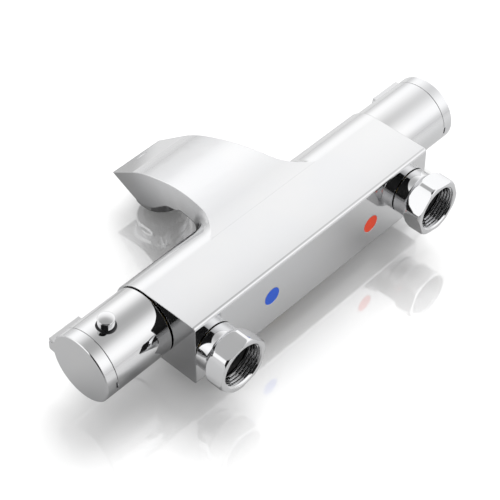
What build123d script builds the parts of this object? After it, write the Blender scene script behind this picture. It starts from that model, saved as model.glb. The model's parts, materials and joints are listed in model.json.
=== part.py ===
from build123d import *
import math
import os

os.makedirs("parts", exist_ok=True)

# Millimetres. The origin is midway between the mouths of the two union nuts, on their axes.
# +X runs along the bar to the temperature handle, +Y to the wall and +Z up.

# Named clearances
seat = 0.05
running = 0.08
loose = 0.3
face_gap = 0.2
face_fit = 0.1

# Cast body: a bar with a round front and flat top, bottom and back
inlet_spacing = 150.0
axis_y = -56.0
axis_z = 0.8
bar_half = 87.6
bar_radius = 20.65
bar_back = 35.5
back_top_radius = 2.0
back_bottom_radius = 1.5

# Spout, measured from the handles' axis
spout_reach = 98.0
crease_reach = 79.0
spout_blend = 9.0
arch_radius = 7.0
arch_top = 4.2
boss_blend = 3.0
aerator_reach = 78.3
aerator_radius = 15.2
boss_face = -22.5
aerator_bottom = -28.0
aerator_thread = 13.5
aerator_depth = 11.0
aerator_thread_length = 6.5
insert_radius = 11.6
lip_radius = 11.0
lip_height = 1.2
key_flat_depth = 1.2
key_flat_width = 12.0
key_flat_height = 3.4
grid_pitch = 3.4
grid_cell = 2.5
grid_depth = 5.0
cup_depth = 3.2
cup_radius = 9.6
jet_ring = 6.4
jet_radius = 0.6
aerator_washer_thickness = 1.6

# Cartridge chambers and waterways
hot_chamber_radius = 15.5
hot_chamber_floor = 32.0
flow_chamber_radius = 14.5
flow_chamber_floor = 50.0
mixed_bore = 7.5
feed_bore = 4.2
feed_offset = 13.2
feed_start = 66.0
hot_channel_radius = 5.0
hot_channel_back = 24.5
hot_port_x = 48.0
cold_port_radius = 6.0

# Inlets
thread_minor = 12.06
nut_across_flats = 29.6
nut_corner_radius = 16.4
nut_neck_radius = 13.2
nut_neck_length = 6.2
nut_thread_length = 8.6
nut_groove_radius = 12.7
nut_groove_end = 13.0
nut_rim_radius = 15.8
nut_gap = 0.5
nipple_radius = 10.45
nipple_flange_radius = 11.7
nipple_flange = 1.7
nipple_into_body = 11.5
nipple_key = 12.0
nipple_key_depth = 6.0
washer_inner = 8.6
washer_thickness = 1.8
valve_radius = 7.5
valve_front = 15.2
valve_length = 10.8
valve_bore = 6.6
valve_seat_bore = 4.6
poppet_radius = 5.4
poppet_thickness = 1.5
stem_radius = 1.3

# Handles; a place is the distance out from the bar's end face
handle_radius = 19.58
handle_gap = 0.7
handle_length = 43.3
cap_thickness = 6.8
seam = 0.3
sleeve_wall = 2.28
handle_turn = -4.4
web_place = 17.4
web_thickness = 2.5
hub_radius = 11.2
hub_place = 12.4
hub_length = 8.6
hub_bore = 8.6
hub_floor = 1.6
screw_hole = 2.7
cap_edge = 0.5
cap_plug = 3.3
cap_wall = 3.1
lever_height = 3.02
lever_width = 8.6
lever_place = 24.4
lever_slot = 0.9
pry_notch = 1.2
pry_width = 5.0

# Safety button
button_place = 26.6
button_radius = 4.42
button_height = 6.1
button_dome = 0.7
button_edge = 0.5
button_flange_radius = 5.6
button_foot = 13.9
button_foot_thickness = 1.5
collar_radius = 5.25
tongue_place = 8.0
tongue_width = 6.0
tongue_thickness = 1.8
button_spring_radius = 2.6
shelf_top = 9.2
shelf_thickness = 1.6
shelf_reach = 4.4
shelf_width = 8.0

# Temperature cartridge; an inset is the distance in from the bar's end face
sleeve_inset = 2.0
sleeve_radius = 15.3
recess_radius = 13.0
groove_radius = 13.7
groove_width = 2.6
groove_land = 1.0
middle_band = 60.0
band_half = 3.0
end_band = 4.8
inner_band = 10.0
cartridge_bore = 10.0
outlet_bore = 6.0
outlet_length = 4.2
gland_inset = 9.6
spindle_radius = 5.5
neck_radius = 9.0
neck_place = 10.4
hot_holes = 7.0
cold_holes = 6.0
port_hole_radius = 2.4
port_count = 4
spool_length = 10.6
spool_lead = 5.8
spool_wall = 1.4
spool_web = 3.0
spool_hole_ring = 6.4
spool_hole_radius = 1.3
element_radius = 4.1
element_bulb = 16.0
element_collar = 6.0
element_collar_thickness = 1.6
element_guide_radius = 3.0
element_guide = 6.0
element_pin_radius = 1.5
element_pin = 4.0
pressure_nut_length = 4.6
pressure_nut_floor = 1.3
spring_wire = 0.8
return_spring_radius = 7.0
thrust_radius = 8.0
thrust_thickness = 1.4
spline_radius = 5.2
spline_count = 20
spindle_place = 18.9
stud_radius = 3.0
clamp_nut_place = 4.4
clamp_nut_flats = 27.0
clamp_hex_depth = 3.4
stop_ring_gap = 1.2
stop_ring_thickness = 4.4
stop_ring_radius = 11.1
stop_lug_radius = 15.6
stop_lug_middle = 210.0
stop_lug_span = 88.0
catch_middle = 112.0
catch_span = 12.0
catch_gap = 0.4

# Flow cartridge
seal_thickness = 2.0
disc_thickness = 3.5
fixed_disc_radius = 12.6
moving_disc_radius = 12.0
disc_gap = 0.05
housing_radius = 14.3
housing_inset = 4.1
fork_thickness = 2.5

# Shower outlet under the bar
outlet_x = 0.0
outlet_back = 3.0
outlet_radius = 10.48
outlet_thread = 12.4
outlet_bore_radius = 6.8
outlet_into_body = 7.5
outlet_shoulder_radius = 12.2
outlet_shoulder = 1.6

# Colour dots on the back face
dot_radius = 5.15
dot_depth = 0.3
cold_dot_x = 32.7
cold_dot_z = 0.7
hot_dot_x = -44.0
hot_dot_z = -3.9

# Worked out from the sizes above
back_y = axis_y + bar_back
valve_back = valve_front + valve_length
sleeve_inner = handle_radius - sleeve_wall
handle_start = bar_half + handle_gap
handle_end = handle_start + handle_length
web_start = bar_half + web_place
hub_start = bar_half + hub_place
hub_end = hub_start + hub_length
lever_start = bar_half + lever_place
button_x = bar_half + button_place
tongue_end = bar_half + tongue_place
shelf_end = button_x + shelf_reach
cap_start = handle_end - cap_thickness
sleeve_outer_end = cap_start - seam
sleeve_end = bar_half - sleeve_inset
gland_start = bar_half - gland_inset
neck_end = bar_half + neck_place
spindle_end = bar_half + spindle_place
outlet_end = hot_chamber_floor + outlet_length
groove_starts = (
    outlet_end,
    middle_band - groove_width / 2,
    sleeve_end - groove_land - groove_width,
)
hot_holes_x = middle_band - hot_holes
cold_holes_x = middle_band + cold_holes
spool_start = middle_band - spool_lead
spool_web_start = middle_band - spool_web
element_guide_end = middle_band + element_guide
element_end = element_guide_end + element_pin
clamp_nut_start = sleeve_end + face_fit
clamp_nut_end = bar_half + clamp_nut_place
stop_ring_start = clamp_nut_end + stop_ring_gap
stop_ring_end = stop_ring_start + stop_ring_thickness
catch_end = tongue_end - catch_gap
housing_end = bar_half - housing_inset
flow_nut_start = housing_end + face_fit
seal_end = flow_chamber_floor + seal_thickness
fixed_end = seal_end + disc_thickness
moving_end = fixed_end + disc_gap + disc_thickness
fork_end = moving_end + fork_thickness

turn = math.radians(handle_turn)
up_dir = (0, -math.sin(turn), math.cos(turn))
front_dir = (0, -math.cos(turn), -math.sin(turn))


def across(x):
    """Plane square to the bar: local x to the wall, local y up."""
    return Plane(origin=(x, axis_y, axis_z), x_dir=(0, 1, 0), z_dir=(1, 0, 0))


def across_turned(x, side=1):
    """Plane square to the bar, turned with the handles and facing outward."""
    to_wall = tuple(-side * d for d in front_dir)
    return Plane(origin=(side * x, axis_y, axis_z), x_dir=to_wall, z_dir=(side, 0, 0))


def axial(side):
    """Plane through the bar's axis: local x outward from the middle, local y up."""
    return Plane(origin=(0, axis_y, axis_z), x_dir=(side, 0, 0), z_dir=(0, -side, 0))


def inlet_plane(x):
    """Plane through an inlet's axis: local x to the wall, local y up."""
    return Plane(origin=(x, 0, 0), x_dir=(0, 1, 0), z_dir=(1, 0, 0))


def wall_plane(x, y, z):
    """Plane facing the wall, centred on (x, y, z)."""
    return Plane(origin=(x, y, z), x_dir=(-1, 0, 0), z_dir=(0, 1, 0))


def profile(points, plane):
    """Closed straight-sided section."""
    with BuildSketch(plane) as section:
        with BuildLine():
            Polyline(*points, close=True)
        make_face()
    return section.sketch


def disc(plane, radius, inner=0.0):
    """Round or ring-shaped section."""
    with BuildSketch(plane) as section:
        Circle(radius)
        if inner > 0:
            Circle(inner, mode=Mode.SUBTRACT)
    return section.sketch


bar_axis = Axis((0, axis_y, axis_z), (1, 0, 0))


def ring_points(start, end, outer, inner):
    """Corners of a ring's section along an axis."""
    return ((start, inner), (end, inner), (end, outer), (start, outer))


def coil(plane, radius, wire, start, length, turns):
    """Open coil spring of six-sided wire, wound along the plane's normal."""
    steps = 12
    rise = (length - 1.1 * wire) / (turns * steps)
    sections = []
    for i in range(turns * steps + 1):
        angle = 2 * math.pi * i / steps
        outward = plane.x_dir * math.cos(angle) + plane.y_dir * math.sin(angle)
        along = plane.y_dir * math.cos(angle) - plane.x_dir * math.sin(angle)
        centre = plane.origin + outward * radius + plane.z_dir * (start + 0.55 * wire + rise * i)
        with BuildSketch(Plane(origin=centre, x_dir=outward, z_dir=along)) as section:
            RegularPolygon(wire / 2, 6)
        sections.append(section.sketch)
    with BuildPart() as spring:
        loft(sections=sections, ruled=True)
    return spring


# Space beside the spout, rounded where its flank meets the bar
def bar_section(x):
    """The bar's section: round front, flat top, bottom and back."""
    with BuildSketch(across(x)) as section:
        with BuildLine():
            Line((0, bar_radius), (bar_back, bar_radius))
            Line((bar_back, bar_radius), (bar_back, -bar_radius))
            Line((bar_back, -bar_radius), (0, -bar_radius))
            ThreePointArc((0, -bar_radius), (-bar_radius, 0), (0, bar_radius))
        make_face()
        fillet(section.vertices().group_by(Axis.X)[-1].sort_by(Axis.Y)[-1], back_top_radius)
        fillet(section.vertices().group_by(Axis.X)[-1].sort_by(Axis.Y)[0], back_bottom_radius)
    return section.sketch


flank = ((-110, 16.5), (-98, 17.7), (-79, 20.0), (-60, 21.9), (-40, 23.7), (-20, 26.6), (-6, 29.4), (5, 32.0))

with BuildPart() as side_space:
    with BuildSketch(Plane.XY.offset(axis_z - 45)):
        with BuildLine():
            Spline(*[(w, axis_y + u) for u, w in flank])
            Line((flank[-1][1], axis_y + flank[-1][0]), (80, axis_y + flank[-1][0]))
            Line((80, axis_y + flank[-1][0]), (80, axis_y + flank[0][0]))
            Line((80, axis_y + flank[0][0]), (flank[0][1], axis_y + flank[0][0]))
        make_face()
    extrude(amount=90)
    extrude(bar_section(0), amount=100, mode=Mode.SUBTRACT)
    root_edges = [
        e
        for e in side_space.edges()
        if abs((e @ 0.5).Z - axis_z) < bar_radius + 0.01
        and (e @ 0.5).X < 45
        and (e @ 0.5).Y > axis_y - bar_radius - 1
    ]
    fillet(root_edges, spout_blend)

# Spout seen from the side: flat top running on from the bar, sloped nose, arch behind the aerator
touch = bar_radius / (bar_radius + arch_radius)
arch_drop = arch_radius - arch_top
arch_centre = (-math.sqrt((bar_radius + arch_radius) ** 2 - arch_drop**2), -arch_drop)
arch_foot = (arch_centre[0] * touch, arch_centre[1] * touch)
arch_turn = math.radians(40)
arch_mid = (
    arch_centre[0] + arch_radius * math.sin(arch_turn),
    arch_centre[1] + arch_radius * math.cos(arch_turn),
)
top_join = -1.0

with BuildSketch(across(-45)) as spout_side:
    with BuildLine():
        Line((top_join, bar_radius), (-14, bar_radius))
        Spline(
            (-14, bar_radius),
            (-30, 19.9),
            (-45, 17.2),
            (-60, 12.2),
            (-70, 8.0),
            (-crease_reach, 2.6),
            tangents=((-1, 0), (-1, -0.66)),
        )
        Line((-crease_reach, 2.6), (-spout_reach, -11.8))
        Line((-spout_reach, -11.8), (-81, -15.9))
        Spline(
            (-81, -15.9),
            (-72, -16.6),
            (-64, -13.2),
            (-56, -6.4),
            (-49, -1.2),
            (-42, 1.3),
            (arch_centre[0], arch_top),
            tangents=((1, -0.25), (1, 0)),
        )
        ThreePointArc((arch_centre[0], arch_top), arch_mid, arch_foot)
        Line(arch_foot, (-6, 0))
        Line((-6, 0), (top_join, bar_radius))
    make_face()

# Waterway inside the spout
with BuildSketch(across(-14.2)) as spout_bore:
    with BuildLine():
        Polyline(
            (-12, 14.5),
            (-30, 16.3),
            (-45, 13.6),
            (-60, 8.8),
            (-72, 3.6),
            (-80, -1.2),
            (-90, -9.6),
            (-88, -12),
            (-69, -12),
            (-62, -8),
            (-55, -2),
            (-49, 2.2),
            (-42, 4.9),
            (-30, 7),
            (-17.5, 7),
            (-16, 1),
            (-12, 1),
            close=True,
        )
    make_face()

with BuildPart() as body:
    extrude(spout_side.sketch, amount=90)
    add(side_space.part, mode=Mode.SUBTRACT)
    mirror(side_space.part, about=Plane.YZ, mode=Mode.SUBTRACT)
    extrude(bar_section(-bar_half), amount=2 * bar_half)
    # Boss for the aerator
    with BuildSketch(Plane((0, axis_y - aerator_reach, axis_z + boss_face))):
        Circle(aerator_radius)
    extrude(amount=-boss_face - 8)
    boss_root = [
        e
        for e in body.edges()
        if e.geom_type != GeomType.LINE
        and abs(math.hypot((e @ 0.5).X, (e @ 0.5).Y - axis_y + aerator_reach) - aerator_radius) < 0.01
        and (e @ 0.5).Z > axis_z + boss_face + 1
        and (e @ 0.5).Z < axis_z - 8.5
    ]
    fillet(boss_root, boss_blend)
    # Boss round the shower outlet
    with BuildSketch(Plane((outlet_x, axis_y + outlet_back, axis_z - bar_radius - 0.8))):
        Circle(outlet_shoulder_radius + 1.2)
    extrude(amount=4)
    # Cartridge chambers and the passage between them
    extrude(disc(across(hot_chamber_floor), hot_chamber_radius), amount=bar_half, mode=Mode.SUBTRACT)
    extrude(disc(across(-flow_chamber_floor), flow_chamber_radius), amount=-bar_half, mode=Mode.SUBTRACT)
    extrude(
        disc(across(-flow_chamber_floor - 1), mixed_bore),
        amount=flow_chamber_floor + hot_chamber_floor + 2,
        mode=Mode.SUBTRACT,
    )
    # Inlet threads in the back face, with a bore to each chamber
    for x in (-inlet_spacing / 2, inlet_spacing / 2):
        extrude(
            disc(wall_plane(x, back_y + 1, 0), nipple_radius + seat),
            amount=-nipple_into_body - 2,
            mode=Mode.SUBTRACT,
        )
    extrude(
        disc(wall_plane(inlet_spacing / 2, back_y, 0), cold_port_radius),
        amount=-bar_back + 8,
        mode=Mode.SUBTRACT,
    )
    # Hot water crosses behind the flow cartridge to the temperature cartridge
    channel_start = -inlet_spacing / 2 - 6
    hot_run = Plane(origin=(channel_start, axis_y + hot_channel_back, 0), x_dir=(0, 1, 0), z_dir=(1, 0, 0))
    extrude(
        disc(hot_run, hot_channel_radius),
        amount=hot_port_x + hot_channel_radius - channel_start,
        mode=Mode.SUBTRACT,
    )
    extrude(
        disc(wall_plane(hot_port_x, axis_y + hot_channel_back, 0), hot_channel_radius),
        amount=-hot_channel_back + 8,
        mode=Mode.SUBTRACT,
    )
    # Feeds from the flow cartridge to the spout and to the shower outlet
    for y, z, end in ((-feed_offset, 0, mixed_bore), (0, -feed_offset, outlet_x)):
        feed = Plane(origin=(-feed_start, axis_y + y, axis_z + z), x_dir=(0, 1, 0), z_dir=(1, 0, 0))
        extrude(disc(feed, feed_bore), amount=feed_start + end, mode=Mode.SUBTRACT)
    extrude(spout_bore.sketch, amount=28.4, mode=Mode.SUBTRACT)
    # Aerator thread and shower outlet thread
    with BuildSketch(Plane((0, axis_y - aerator_reach, axis_z + boss_face - 1))):
        Circle(aerator_thread + seat)
    extrude(amount=aerator_depth + 1, mode=Mode.SUBTRACT)
    with BuildSketch(Plane((outlet_x, axis_y + outlet_back, axis_z - bar_radius - 2))):
        Circle(outlet_radius - 0.4 + seat)
    extrude(amount=2 + outlet_into_body, mode=Mode.SUBTRACT)
    # Recesses for the colour dots
    for x, z in ((cold_dot_x, cold_dot_z), (hot_dot_x, hot_dot_z)):
        recess = wall_plane(x, back_y - dot_depth, axis_z + z)
        extrude(disc(recess, dot_radius + seat), amount=1, mode=Mode.SUBTRACT)
body.part.label = "body"
export_step(body.part, "parts/body.step")


# Colour dots
def colour_dot(x, z):
    """Enamel dot, flush in the back face."""
    with BuildPart() as dot:
        extrude(disc(wall_plane(x, back_y - dot_depth, axis_z + z), dot_radius), amount=dot_depth)
    return dot


cold_dot = colour_dot(cold_dot_x, cold_dot_z)
cold_dot.part.label = "cold_dot"
export_step(cold_dot.part, "parts/cold_dot.step")

hot_dot = colour_dot(hot_dot_x, hot_dot_z)
hot_dot.part.label = "hot_dot"
export_step(hot_dot.part, "parts/hot_dot.step")


# Inlet pieces, made once for each side
nut_start = back_y + nut_gap
flange_face = -nut_groove_end + loose + nipple_flange


def union_nut(x, corner):
    """Captive nut: hexagon with turned corners, round neck towards the body, inner thread."""
    neck_end_y = nut_start + nut_neck_length
    with BuildPart() as nut:
        with BuildSketch(wall_plane(x, nut_start, 0)):
            RegularPolygon(nut_across_flats / 2, 6, major_radius=False, rotation=corner)
        extrude(amount=-nut_start)
        blank = Plane(origin=(x, 0, 0), x_dir=(0, 1, 0), z_dir=(1, 0, 0))
        with BuildSketch(blank) as outline:
            with BuildLine():
                Line((nut_start, 0), (nut_start, nut_neck_radius))
                Line((nut_start, nut_neck_radius), (neck_end_y, nut_neck_radius))
                Spline(
                    (neck_end_y, nut_neck_radius),
                    (neck_end_y + 2.0, nut_neck_radius + 1.3),
                    (neck_end_y + 4.6, nut_corner_radius),
                    tangents=((1, 0), (1, 0.25)),
                )
                Line((neck_end_y + 4.6, nut_corner_radius), (-1.6, nut_corner_radius))
                Spline((-1.6, nut_corner_radius), (-0.5, nut_rim_radius + 0.2), (0, nut_rim_radius - 0.6))
                Line((0, nut_rim_radius - 0.6), (0, 0))
                Line((0, 0), (nut_start, 0))
            make_face()
        revolve(axis=Axis((x, 0, 0), (0, 1, 0)), mode=Mode.INTERSECT)
        extrude(disc(wall_plane(x, nut_start, 0), nut_neck_radius), amount=nut_neck_length + 2)
        bore = (
            (nut_start - 1, 0),
            (nut_start - 1, nipple_radius + loose),
            (-nut_groove_end, nipple_radius + loose),
            (-nut_groove_end, nut_groove_radius),
            (-nut_thread_length, nut_groove_radius),
            (-nut_thread_length, thread_minor),
            (-1.1, thread_minor),
            (0, thread_minor + 1.1),
            (1, thread_minor + 1.1),
            (1, 0),
        )
        revolve(profile(bore, inlet_plane(x)), axis=Axis((x, 0, 0), (0, 1, 0)), mode=Mode.SUBTRACT)
    return nut


cold_union_nut = union_nut(inlet_spacing / 2, 14)
cold_union_nut.part.label = "cold_union_nut"
export_step(cold_union_nut.part, "parts/cold_union_nut.step")

hot_union_nut = union_nut(-inlet_spacing / 2, 48)
hot_union_nut.part.label = "hot_union_nut"
export_step(hot_union_nut.part, "parts/hot_union_nut.step")


def inlet_nipple(x):
    """Threaded nipple that carries the union nut, with a key socket in its inner end."""
    inner_end = back_y - nipple_into_body
    with BuildPart() as nipple:
        outer = (
            (inner_end, 0),
            (inner_end, nipple_radius - 0.6),
            (inner_end + 0.6, nipple_radius),
            (flange_face - nipple_flange, nipple_radius),
            (flange_face - nipple_flange, nipple_flange_radius),
            (flange_face, nipple_flange_radius),
            (flange_face, 0),
        )
        revolve(profile(outer, inlet_plane(x)), axis=Axis((x, 0, 0), (0, 1, 0)))
        extrude(
            disc(wall_plane(x, inner_end + nipple_key_depth, 0), valve_radius + seat),
            amount=30,
            mode=Mode.SUBTRACT,
        )
        with BuildSketch(wall_plane(x, inner_end - 1, 0)):
            RegularPolygon(nipple_key / 2, 6, major_radius=False)
        extrude(amount=nipple_key_depth + 2, mode=Mode.SUBTRACT)
    return nipple


cold_nipple = inlet_nipple(inlet_spacing / 2)
cold_nipple.part.label = "cold_nipple"
export_step(cold_nipple.part, "parts/cold_nipple.step")

hot_nipple = inlet_nipple(-inlet_spacing / 2)
hot_nipple.part.label = "hot_nipple"
export_step(hot_nipple.part, "parts/hot_nipple.step")


def inlet_washer(x):
    """Flat sealing washer on the nipple's flange."""
    with BuildPart() as washer:
        ring = disc(wall_plane(x, flange_face, 0), nipple_flange_radius - 0.1, washer_inner)
        extrude(ring, amount=washer_thickness)
    return washer


cold_washer = inlet_washer(inlet_spacing / 2)
cold_washer.part.label = "cold_washer"
export_step(cold_washer.part, "parts/cold_washer.step")

hot_washer = inlet_washer(-inlet_spacing / 2)
hot_washer.part.label = "hot_washer"
export_step(hot_washer.part, "parts/hot_washer.step")


def inlet_strainer(x):
    """Perforated cup that hangs in the nipple's mouth by its lip."""
    cup = valve_radius - 0.3
    depth = 3.2
    wall = 0.5
    with BuildPart() as strainer:
        section = (
            (flange_face - depth, 0),
            (flange_face - depth, cup),
            (flange_face, cup),
            (flange_face, washer_inner - 0.1),
            (flange_face + wall, washer_inner - 0.1),
            (flange_face + wall, cup - wall),
            (flange_face - depth + wall, cup - wall),
            (flange_face - depth + wall, 0),
        )
        revolve(profile(section, inlet_plane(x)), axis=Axis((x, 0, 0), (0, 1, 0)))
        with BuildSketch(wall_plane(x, flange_face - depth - 1, 0)):
            with HexLocations(1.7, 5, 5):
                Rectangle(1.5, 1.5)
        extrude(amount=3, mode=Mode.SUBTRACT)
    return strainer


cold_strainer = inlet_strainer(inlet_spacing / 2)
cold_strainer.part.label = "cold_strainer"
export_step(cold_strainer.part, "parts/cold_strainer.step")

hot_strainer = inlet_strainer(-inlet_spacing / 2)
hot_strainer.part.label = "hot_strainer"
export_step(hot_strainer.part, "parts/hot_strainer.step")

# Non-return valve: the water comes from the wall and lifts the poppet off its seat
seat_plate = 1.8
guide_plate = 1.4
poppet_front = -valve_front - seat_plate - face_gap
poppet_back = poppet_front - poppet_thickness


def check_housing(x):
    """Tube with a seat at the wall end and a three-armed stem guide at the other."""
    with BuildPart() as housing:
        section = (
            (-valve_back, valve_bore),
            (-valve_front - seat_plate, valve_bore),
            (-valve_front - seat_plate, valve_seat_bore),
            (-valve_front, valve_seat_bore),
            (-valve_front, valve_radius),
            (-valve_back, valve_radius),
        )
        revolve(profile(section, inlet_plane(x)), axis=Axis((x, 0, 0), (0, 1, 0)))
        with BuildSketch(wall_plane(x, -valve_back, 0)):
            Circle(stem_radius + 1.4)
            with PolarLocations(valve_bore / 2, 3):
                Rectangle(valve_bore + 0.4, 1.2)
            Circle(stem_radius + running, mode=Mode.SUBTRACT)
        extrude(amount=guide_plate)
    return housing


cold_check_housing = check_housing(inlet_spacing / 2)
cold_check_housing.part.label = "cold_check_housing"
export_step(cold_check_housing.part, "parts/cold_check_housing.step")

hot_check_housing = check_housing(-inlet_spacing / 2)
hot_check_housing.part.label = "hot_check_housing"
export_step(hot_check_housing.part, "parts/hot_check_housing.step")


def check_poppet(x):
    """Mushroom-shaped poppet with its guide stem."""
    with BuildPart() as poppet:
        section = (
            (-valve_back - 0.6, 0),
            (-valve_back - 0.6, stem_radius),
            (poppet_back, stem_radius),
            (poppet_back, poppet_radius),
            (poppet_front, poppet_radius),
            (poppet_front, valve_seat_bore - 0.6),
            (poppet_front + 1.2, 2.0),
            (poppet_front + 1.2, 0),
        )
        revolve(profile(section, inlet_plane(x)), axis=Axis((x, 0, 0), (0, 1, 0)))
    return poppet


cold_check_poppet = check_poppet(inlet_spacing / 2)
cold_check_poppet.part.label = "cold_check_poppet"
export_step(cold_check_poppet.part, "parts/cold_check_poppet.step")

hot_check_poppet = check_poppet(-inlet_spacing / 2)
hot_check_poppet.part.label = "hot_check_poppet"
export_step(hot_check_poppet.part, "parts/hot_check_poppet.step")


def check_spring(x):
    """Light coil spring round the stem, between guide and poppet."""
    base = wall_plane(x, -valve_back + guide_plate, 0)
    room = poppet_back + valve_back - guide_plate
    return coil(base, 2.2, 0.5, 0.0, room, 4)


cold_check_spring = check_spring(inlet_spacing / 2)
cold_check_spring.part.label = "cold_check_spring"
export_step(cold_check_spring.part, "parts/cold_check_spring.step")

hot_check_spring = check_spring(-inlet_spacing / 2)
hot_check_spring.part.label = "hot_check_spring"
export_step(hot_check_spring.part, "parts/hot_check_spring.step")

# Temperature cartridge
with BuildPart() as cartridge_sleeve:
    outer = (
        (hot_chamber_floor + seat, outlet_bore),
        (hot_chamber_floor + seat, sleeve_radius),
        (hot_chamber_floor + inner_band, sleeve_radius),
        (hot_chamber_floor + inner_band, recess_radius),
        (middle_band - band_half, recess_radius),
        (middle_band - band_half, sleeve_radius),
        (middle_band + band_half, sleeve_radius),
        (middle_band + band_half, recess_radius),
        (sleeve_end - end_band, recess_radius),
        (sleeve_end - end_band, sleeve_radius),
        (sleeve_end, sleeve_radius),
        (sleeve_end, neck_radius),
        (neck_end, neck_radius),
        (neck_end, spindle_radius + running),
        (gland_start, spindle_radius + running),
        (gland_start, cartridge_bore),
        (outlet_end, cartridge_bore),
        (outlet_end, outlet_bore),
    )
    revolve(profile(outer, axial(1)), axis=bar_axis)
    for start in groove_starts:
        groove = ring_points(start, start + groove_width, sleeve_radius + 1, groove_radius)
        revolve(profile(groove, axial(1)), axis=bar_axis, mode=Mode.SUBTRACT)
    for x in (hot_holes_x, cold_holes_x):
        with BuildSketch(Plane(origin=(x, axis_y, axis_z), x_dir=(1, 0, 0), z_dir=(0, 0, 1))) as hole:
            Circle(port_hole_radius)
        for k in range(port_count // 2):
            spoke = hole.sketch.rotate(Axis((x, axis_y, axis_z), (1, 0, 0)), k * 360 / port_count)
            extrude(spoke, amount=sleeve_radius + 2, both=True, mode=Mode.SUBTRACT)
cartridge_sleeve.part.label = "cartridge_sleeve"
export_step(cartridge_sleeve.part, "parts/cartridge_sleeve.step")

with BuildPart() as cartridge_seals:
    for start in groove_starts:
        ring = ring_points(
            start + loose,
            start + groove_width - loose,
            hot_chamber_radius - seat,
            groove_radius + seat,
        )
        revolve(profile(ring, axial(1)), axis=bar_axis)
cartridge_seals.part.label = "cartridge_seals"
export_step(cartridge_seals.part, "parts/cartridge_seals.step")


def clamp_nut(side, start, radius):
    """Ring nut with a hexagon, threaded into the mouth of a chamber."""
    with BuildPart() as nut:
        section = ring_points(start, clamp_nut_end, radius, neck_radius + loose)
        revolve(profile(section, axial(side)), axis=bar_axis)
        with BuildSketch(across_turned(clamp_nut_end - clamp_hex_depth, side)):
            Circle(radius + 2)
            RegularPolygon(clamp_nut_flats / 2, 6, major_radius=False, mode=Mode.SUBTRACT)
        extrude(amount=10, mode=Mode.SUBTRACT)
    return nut


cartridge_clamp_nut = clamp_nut(1, clamp_nut_start, hot_chamber_radius - seat)
cartridge_clamp_nut.part.label = "cartridge_clamp_nut"
export_step(cartridge_clamp_nut.part, "parts/cartridge_clamp_nut.step")


def sector(plane, radius, middle, span):
    """Slice of a disc, centred on an angle."""
    half = math.radians(span / 2)
    with BuildSketch(plane) as slice_:
        with BuildLine(Plane.XY.rotated((0, 0, middle))):
            start = (radius * math.cos(half), -radius * math.sin(half))
            end = (radius * math.cos(half), radius * math.sin(half))
            Line((0, 0), start)
            ThreePointArc(start, (radius, 0), end)
            Line(end, (0, 0))
        make_face()
    return slice_.sketch


ring_plane = across_turned(stop_ring_start)
with BuildPart() as stop_ring:
    extrude(disc(ring_plane, stop_ring_radius), amount=stop_ring_end - stop_ring_start)
    end_stop = sector(ring_plane, stop_lug_radius, stop_lug_middle, stop_lug_span)
    extrude(end_stop, amount=stop_ring_end - stop_ring_start)
    extrude(sector(ring_plane, stop_lug_radius, catch_middle, catch_span), amount=catch_end - stop_ring_start)
    extrude(disc(ring_plane, neck_radius + seat), amount=10, mode=Mode.SUBTRACT)
stop_ring.part.label = "stop_ring"
export_step(stop_ring.part, "parts/stop_ring.step")


def splines(side, start):
    """Grooves along the end of a spindle."""
    with BuildSketch(across_turned(start, side)) as teeth:
        with PolarLocations(spline_radius + 0.05, spline_count):
            Rectangle(0.7, 0.8)
    return teeth.sketch


with BuildPart() as temperature_spindle:
    outer = (
        (gland_start - face_gap - thrust_thickness, 0),
        (gland_start - face_gap - thrust_thickness, thrust_radius),
        (gland_start - face_gap, thrust_radius),
        (gland_start - face_gap, spindle_radius),
        (neck_end, spindle_radius),
        (neck_end, spline_radius),
        (spindle_end, spline_radius),
        (spindle_end, 0),
    )
    revolve(profile(outer, axial(1)), axis=bar_axis)
    extrude(disc(across(element_end + 2.0), stud_radius), amount=gland_start - element_end - 3)
    extrude(splines(1, neck_end + 0.4), amount=20, mode=Mode.SUBTRACT)
    extrude(disc(across(spindle_end - 9), 2.1), amount=20, mode=Mode.SUBTRACT)
temperature_spindle.part.label = "temperature_spindle"
export_step(temperature_spindle.part, "parts/temperature_spindle.step")

with BuildPart() as pressure_nut:
    section = (
        (element_end, 0),
        (element_end, cartridge_bore - running),
        (element_end + pressure_nut_length, cartridge_bore - running),
        (element_end + pressure_nut_length, stud_radius + running),
        (element_end + pressure_nut_floor, stud_radius + running),
        (element_end + pressure_nut_floor, 0),
    )
    revolve(profile(section, axial(1)), axis=bar_axis)
pressure_nut.part.label = "pressure_nut"
export_step(pressure_nut.part, "parts/pressure_nut.step")

bulb_start = middle_band - element_bulb
bulb_chamfer = 0.8
collar_end = middle_band + element_collar_thickness
with BuildPart() as wax_element:
    section = (
        (bulb_start, 0),
        (bulb_start, element_radius - bulb_chamfer),
        (bulb_start + bulb_chamfer, element_radius),
        (middle_band, element_radius),
        (middle_band, element_collar),
        (collar_end, element_collar),
        (collar_end + 0.6, element_guide_radius),
        (element_guide_end, element_guide_radius),
        (element_guide_end, element_pin_radius),
        (element_end, element_pin_radius),
        (element_end, 0),
    )
    revolve(profile(section, axial(1)), axis=bar_axis)
wax_element.part.label = "wax_element"
export_step(wax_element.part, "parts/wax_element.step")

with BuildPart() as regulating_spool:
    spool_outer = cartridge_bore - running
    section = ring_points(spool_start, spool_start + spool_length, spool_outer, spool_outer - spool_wall)
    revolve(profile(section, axial(1)), axis=bar_axis)
    web = ring_points(spool_web_start, middle_band, spool_outer - spool_wall + 0.2, element_radius + seat)
    revolve(profile(web, axial(1)), axis=bar_axis)
    with BuildSketch(across(spool_web_start - 1)):
        with PolarLocations(spool_hole_ring, 6):
            Circle(spool_hole_radius)
    extrude(amount=spool_web + 2, mode=Mode.SUBTRACT)
regulating_spool.part.label = "regulating_spool"
export_step(regulating_spool.part, "parts/regulating_spool.step")

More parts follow.
